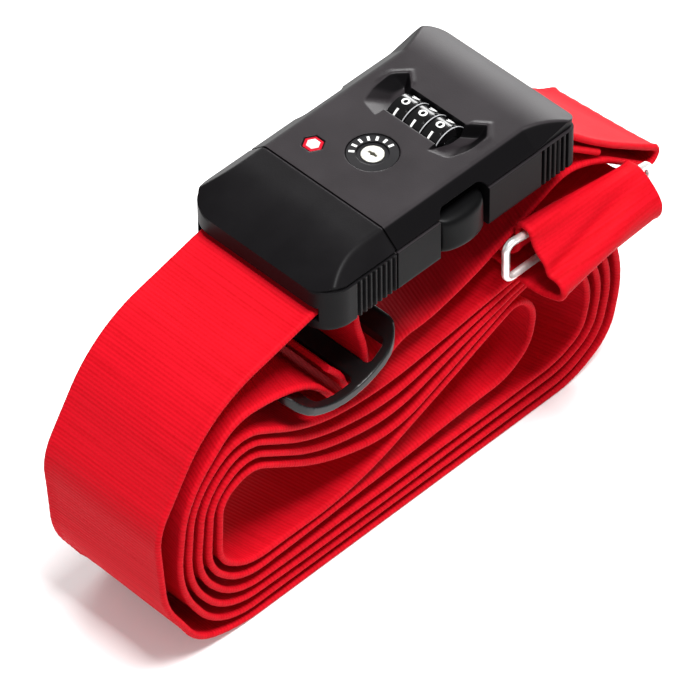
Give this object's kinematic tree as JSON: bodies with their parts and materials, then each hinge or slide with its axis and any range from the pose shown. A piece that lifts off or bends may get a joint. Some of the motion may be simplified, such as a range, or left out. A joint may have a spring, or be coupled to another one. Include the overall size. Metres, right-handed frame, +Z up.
{
  "type": "luggage strap",
  "caption": "Woven luggage strap rolled into a flat coil under a side-release buckle with a number lock, key plug, strap adjuster and keeper loop.",
  "frame": {"origin": "on the surface the coil rests on, below the seam between the buckle's two halves, at the middle of the webbing's width", "axes": "+X along the buckle towards the housing end, +Y across the webbing, +Z up"},
  "size_m": [0.2195, 0.0744, 0.1292],
  "materials": {
    "shell_plastic": "satin",
    "cap_plastic": "satin",
    "inner_plastic": "matte",
    "button_plastic": "satin",
    "dial_plastic": "gloss",
    "adjuster_plastic": "satin",
    "steel": "satin",
    "spring_steel": "satin",
    "chrome": "polished",
    "plug_metal": "satin",
    "badge": "gloss",
    "dish_plastic": "satin",
    "webbing": "woven"
  },
  "bodies": {
    "housing": {"housing_upper_shell": "shell_plastic", "housing_lower_cover": "shell_plastic", "housing_screws": "steel", "housing_strap_bar": "steel", "lock_frame": "inner_plastic", "dial_shaft": "steel", "dial_click_spring": "spring_steel", "lock_cylinder": "inner_plastic", "key_dish_ring": "dish_plastic", "indicator_badge": "badge", "button_spring_near": "spring_steel", "button_spring_far": "spring_steel", "reset_spring": "spring_steel", "strap_webbing_coil": "webbing", "strap_adjuster": "adjuster_plastic", "keeper_loop": "webbing"},
    "male_half": {"cap_upper": "cap_plastic", "cap_lower": "cap_plastic", "cap_screws": "steel", "cap_strap_bar": "steel", "latch_tongue": "cap_plastic", "strap_webbing_lead": "webbing"},
    "dial_1": {"dial_wheel_1": "dial_plastic", "dial_sleeve_1": "inner_plastic"},
    "dial_2": {"dial_wheel_2": "dial_plastic", "dial_sleeve_2": "inner_plastic"},
    "dial_3": {"dial_wheel_3": "dial_plastic", "dial_sleeve_3": "inner_plastic"},
    "key_barrel": {"key_plug": "plug_metal", "key_cam": "steel"},
    "locking_bar": {"lock_bar": "steel"},
    "button_near": {"release_button_near": "button_plastic"},
    "button_far": {"release_button_far": "button_plastic"},
    "reset": {"reset_button": "button_plastic"},
    "ring": {"metal_ring": "chrome"}
  },
  "joints": [
    {"name": "buckle_slide", "type": "slide", "parent": "housing", "child": "male_half", "axis": [-1, 0, 0], "range_m": [0, 0.037], "deforming": ["strap_webbing_lead"]},
    {"name": "dial_1_turn", "type": "hinge", "parent": "housing", "child": "dial_1", "pos_m": [0.0433, -0.0073, 0.1215], "axis": [0, 1, 0], "continuous": true},
    {"name": "dial_2_turn", "type": "hinge", "parent": "housing", "child": "dial_2", "pos_m": [0.0433, 0, 0.1215], "axis": [0, 1, 0], "continuous": true},
    {"name": "dial_3_turn", "type": "hinge", "parent": "housing", "child": "dial_3", "pos_m": [0.0433, 0.0073, 0.1215], "axis": [0, 1, 0], "continuous": true},
    {"name": "key_turn", "type": "hinge", "parent": "housing", "child": "key_barrel", "pos_m": [0.0212, 0, 0.121], "axis": [0, 0, 1], "range_deg": [0, 90]},
    {"name": "lock_bar_slide", "type": "slide", "parent": "housing", "child": "locking_bar", "axis": [1, 0, 0], "range_m": [0, 0.0012]},
    {"name": "button_near_press", "type": "slide", "parent": "housing", "child": "button_near", "axis": [0, 1, 0], "range_m": [0, 0.0025], "stiffness_N_per_m": 800, "deforming": ["button_spring_near"]},
    {"name": "button_far_press", "type": "slide", "parent": "housing", "child": "button_far", "axis": [0, -1, 0], "range_m": [0, 0.0025], "stiffness_N_per_m": 800, "deforming": ["button_spring_far"]},
    {"name": "reset_press", "type": "slide", "parent": "housing", "child": "reset", "axis": [0, 0, 1], "range_m": [0, 0.0012], "stiffness_N_per_m": 500, "deforming": ["reset_spring"]},
    {"name": "ring_swing", "type": "hinge", "parent": "housing", "child": "ring", "pos_m": [0.081, -0.0295, 0.085], "axis": [0.9903, 0, -0.1393], "range_deg": [-20, 0]}
  ]
}
